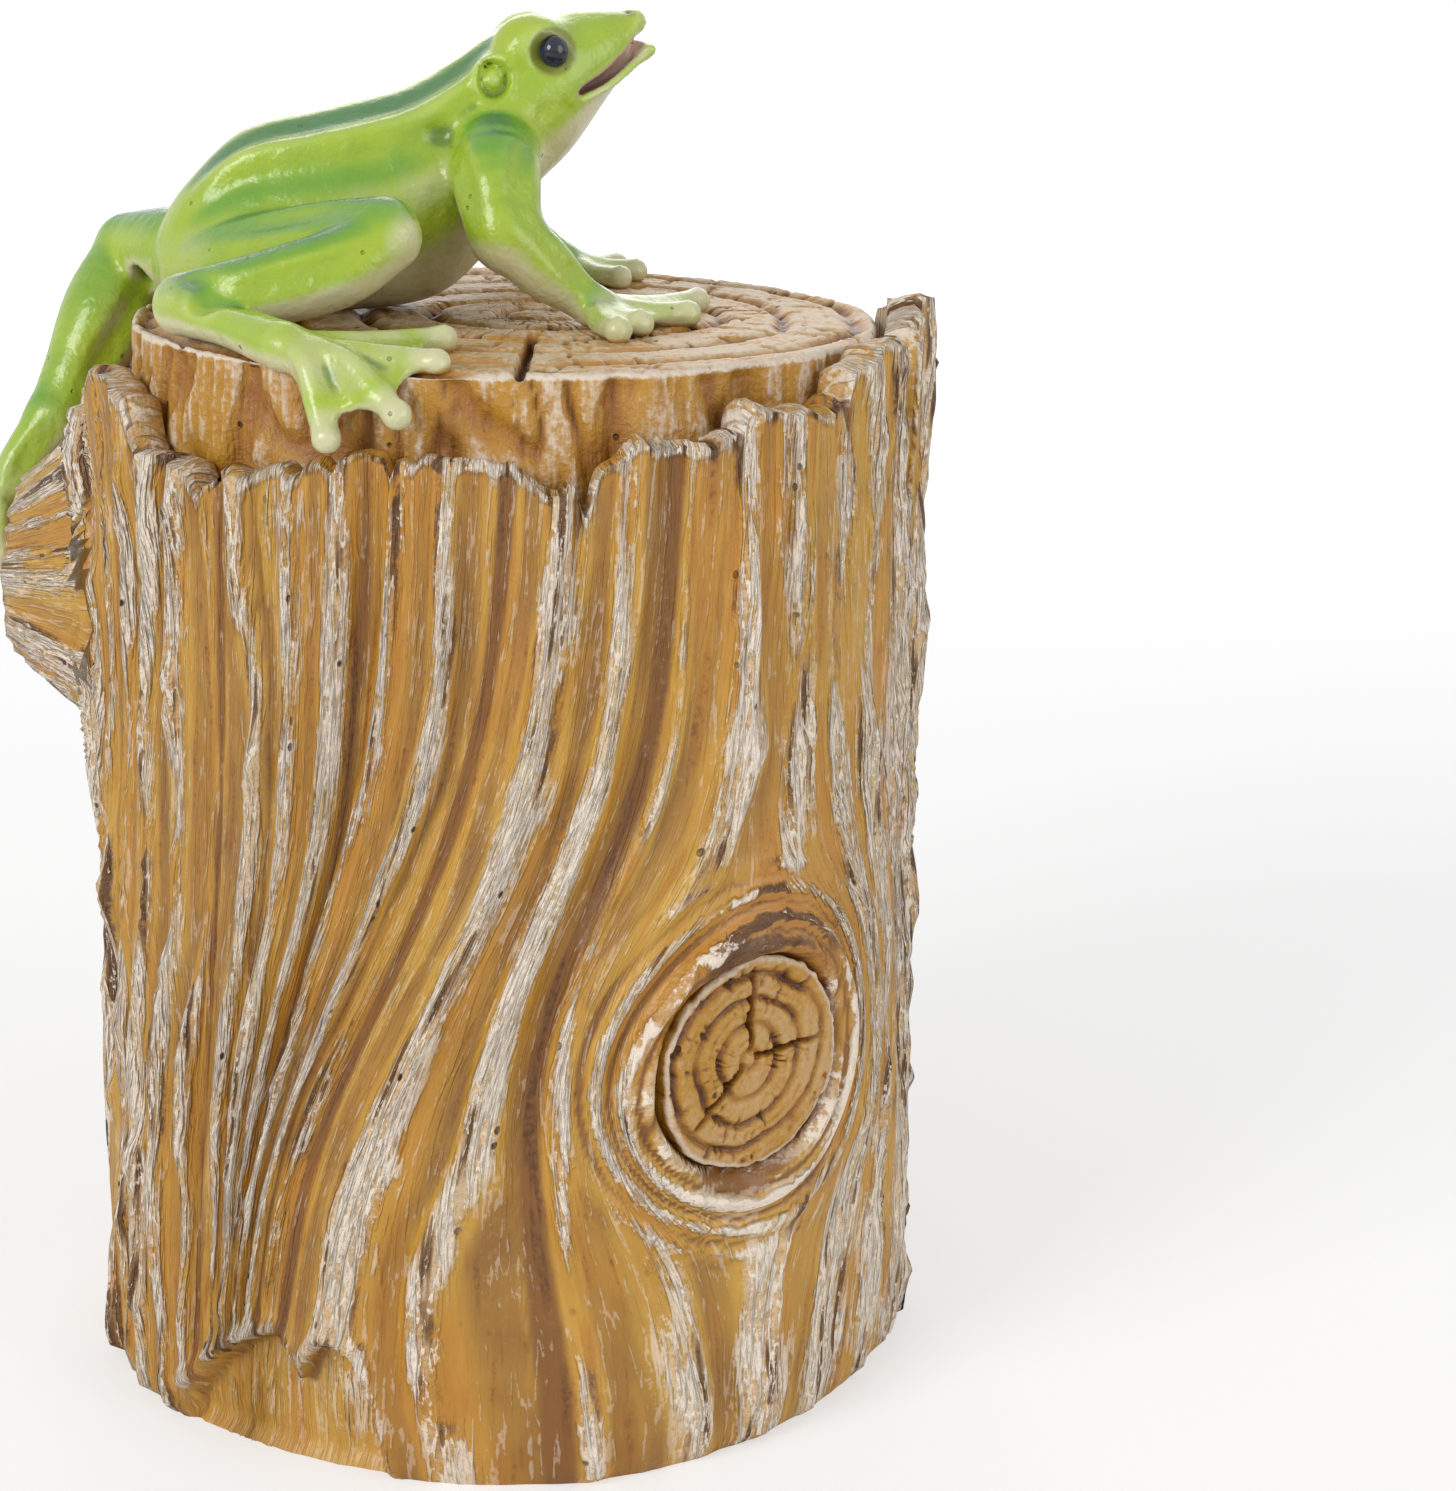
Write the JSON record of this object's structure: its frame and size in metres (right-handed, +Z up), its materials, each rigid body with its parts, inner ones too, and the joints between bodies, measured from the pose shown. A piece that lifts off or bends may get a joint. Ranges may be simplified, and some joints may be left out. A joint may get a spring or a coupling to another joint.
{
  "type": "tree stump key hider",
  "caption": "Cast resin tree stump with a tree frog on top, hollow underneath to hide keys behind a base cover that slides out at the back.",
  "frame": {"origin": "centre of the trunk's round base, on the plane it stands on", "axes": "+Z up along the trunk; +Y towards the back, the way the base cover slides out; -Y the front, where the bark is hollowed at the foot"},
  "size_m": [0.1104, 0.1011, 0.1602],
  "materials": {
    "stump_resin": "painted polyresin, satin",
    "frog_resin": "painted polyresin, glossy",
    "eye_gloss": "high gloss",
    "cover_plastic": "matt"
  },
  "bodies": {
    "stump": {"stump_casting": "stump_resin", "frog_casting": "frog_resin", "eye_right": "eye_gloss", "eye_left": "eye_gloss"},
    "cover": {"base_cover": "cover_plastic"}
  },
  "joints": [
    {"name": "cover_slide", "type": "slide", "parent": "stump", "child": "cover", "axis": [0, 1, 0], "range_m": [0, 0.085]}
  ]
}
